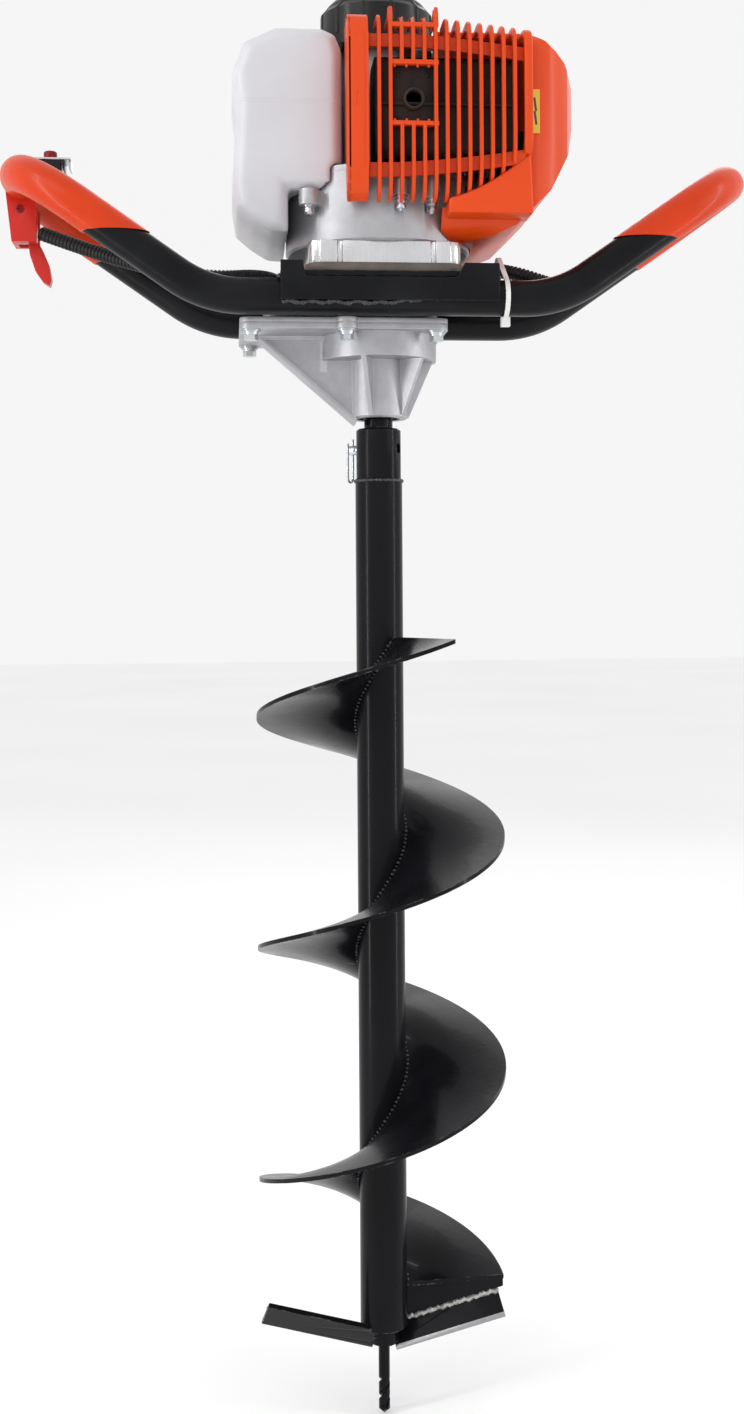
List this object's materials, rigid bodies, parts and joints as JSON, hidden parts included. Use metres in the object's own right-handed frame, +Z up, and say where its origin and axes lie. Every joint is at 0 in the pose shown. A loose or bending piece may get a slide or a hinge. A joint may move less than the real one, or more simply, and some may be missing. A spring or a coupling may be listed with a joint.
{
  "type": "powered auger",
  "caption": "Petrol-engined ice and earth auger: spiral bit with cutting blades and pilot drill, reduction gearbox, looped two-handed tube frame, guarded muffler and finger throttle.",
  "frame": {"origin": "tip of the pilot drill, on the turning axis of the bit", "axes": "+Z up along the bit's turning axis, +X towards the engine's cylinder and the right-hand loop, -Y towards the muffler"},
  "size_m": [0.5998, 0.22, 1.142],
  "materials": {
    "bare_steel": "machined",
    "bit_paint": "gloss black",
    "zinc": "zinc plated",
    "cast_alloy": "cast, bead blasted",
    "machined_alloy": "machined",
    "frame_paint": "satin black",
    "plate_steel": "brown-grey, unpainted",
    "grip_rubber": "orange dipped",
    "orange_plastic": "satin orange",
    "black_plastic": "satin black",
    "tank_plastic": "milky white",
    "red_plastic": "red",
    "white_plastic": "white nylon",
    "black_rubber": "matt",
    "cast_iron": "machined",
    "stove_enamel": "matt black, heat proof"
  },
  "bodies": {
    "power_head": {"shaft_bearings": "bare_steel", "oil_seal": "black_rubber", "gearbox_housing": "cast_alloy", "gearbox_cover": "cast_alloy", "gearbox_bolts": "zinc", "left_handle_tube": "frame_paint", "right_handle_tube": "frame_paint", "mounting_plate": "frame_paint", "side_plates": "frame_paint", "left_grip": "grip_rubber", "right_grip": "grip_rubber", "damper_plate": "plate_steel", "adapter_block": "machined_alloy", "fan_housing": "cast_alloy", "crankcase": "cast_alloy", "cylinder": "cast_alloy", "cylinder_cover": "orange_plastic", "muffler": "stove_enamel", "muffler_guard": "orange_plastic", "housing_screws": "zinc", "spark_plug": "zinc", "plug_cap": "black_rubber", "fuel_tank": "tank_plastic", "starter_housing": "black_plastic", "carburettor": "machined_alloy", "air_filter_cover": "black_plastic", "throttle_housing": "red_plastic", "throttle_conduit": "black_plastic", "cable_tie": "white_plastic", "stop_switch_body": "black_plastic"},
    "bit": {"bit_tube": "bit_paint", "bit_socket": "bit_paint", "pilot_holder": "bit_paint", "pilot_drill": "bare_steel", "flight_turn_1": "bit_paint", "flight_turn_2": "bit_paint", "flight_turn_3": "bit_paint", "flight_turn_4": "bit_paint", "cutting_blades": "bit_paint", "connecting_pin": "zinc", "pin_clip": "zinc", "output_shaft": "bit_paint", "output_gear": "bare_steel"},
    "countershaft": {"countershaft": "bare_steel", "intermediate_gear": "bare_steel"},
    "clutch_drum": {"clutch_drum": "bare_steel"},
    "crank": {"crankshaft": "bare_steel", "flywheel": "cast_alloy"},
    "clutch_shoe_front": {"clutch_shoe_front": "cast_iron"},
    "clutch_shoe_rear": {"clutch_shoe_rear": "cast_iron"},
    "piston": {"piston": "machined_alloy", "connecting_rod": "bare_steel"},
    "throttle_trigger": {"throttle_trigger": "red_plastic"},
    "throttle_arm": {"throttle_arm": "zinc"},
    "stop_button": {"stop_button": "red_plastic"},
    "starter_handle": {"starter_handle": "black_plastic", "starter_rope": "white_plastic"},
    "starter_pulley": {"starter_pulley": "black_plastic"},
    "choke_lever": {"choke_lever": "black_plastic"},
    "fuel_cap": {"fuel_cap": "black_plastic"}
  },
  "joints": [
    {"name": "bit_spin", "type": "hinge", "parent": "power_head", "child": "bit", "pos_m": [0, 0, 0.82], "axis": [0, 0, 1], "continuous": true},
    {"name": "countershaft_spin", "type": "hinge", "parent": "power_head", "child": "countershaft", "pos_m": [-0.045, 0, 0.87], "axis": [0, 0, 1], "continuous": true},
    {"name": "drum_spin", "type": "hinge", "parent": "power_head", "child": "clutch_drum", "pos_m": [0, 0, 0.897], "axis": [0, 0, 1], "continuous": true},
    {"name": "crank_spin", "type": "hinge", "parent": "power_head", "child": "crank", "pos_m": [0, 0, 1.03], "axis": [0, 0, 1], "continuous": true},
    {"name": "shoe_rear_slide", "type": "slide", "parent": "crank", "child": "clutch_shoe_rear", "axis": [0, 1, 0], "range_m": [0, 0.0013], "stiffness_N_per_m": 2000, "springref_m": -0.002},
    {"name": "shoe_front_slide", "type": "slide", "parent": "crank", "child": "clutch_shoe_front", "axis": [0, -1, 0], "range_m": [0, 0.0013], "stiffness_N_per_m": 2000, "springref_m": -0.002},
    {"name": "piston_slide", "type": "slide", "parent": "power_head", "child": "piston", "axis": [-1, 0, 0], "range_m": [0, 0.034]},
    {"name": "trigger_squeeze", "type": "hinge", "parent": "power_head", "child": "throttle_trigger", "pos_m": [-0.286, 0.024, 0.972], "axis": [0, -1, 0], "range_deg": [0, 25], "stiffness_Nm_per_rad": 0.5, "springref_deg": -11.46},
    {"name": "throttle_arm_turn", "type": "hinge", "parent": "power_head", "child": "throttle_arm", "pos_m": [0.04175, 0.062, 1.03], "axis": [-1, 0, 0], "range_deg": [0, 50]},
    {"name": "stop_button_press", "type": "slide", "parent": "power_head", "child": "stop_button", "axis": [0, 0, -1], "range_m": [0, 0.003], "stiffness_N_per_m": 500, "springref_m": -0.002},
    {"name": "starter_pull", "type": "slide", "parent": "power_head", "child": "starter_handle", "axis": [0, 1, 0], "range_m": [0, 0.6], "stiffness_N_per_m": 20, "springref_m": -0.4, "deforming": ["starter_rope"]},
    {"name": "starter_pulley_turn", "type": "hinge", "parent": "power_head", "child": "starter_pulley", "pos_m": [0, 0, 1.112], "axis": [0, 0, 1], "range_deg": [0, 1230]},
    {"name": "choke_turn", "type": "hinge", "parent": "power_head", "child": "choke_lever", "pos_m": [0.0478, 0.1, 1.05], "axis": [-1, 0, 0], "range_deg": [0, 80]},
    {"name": "fuel_cap_turn", "type": "hinge", "parent": "power_head", "child": "fuel_cap", "pos_m": [-0.076, 0.022, 1.105], "axis": [0, 0, 1], "range_deg": [0, 360]}
  ],
  "couplings": [
    {"joint": "countershaft_spin", "follows": "bit_spin", "ratio": -5},
    {"joint": "drum_spin", "follows": "bit_spin", "ratio": 31},
    {"joint": "shoe_front_slide", "follows": "shoe_rear_slide", "ratio": 1},
    {"joint": "throttle_arm_turn", "follows": "trigger_squeeze", "ratio": 2},
    {"joint": "starter_pulley_turn", "follows": "starter_pull", "rad_per_m": 35.714}
  ]
}
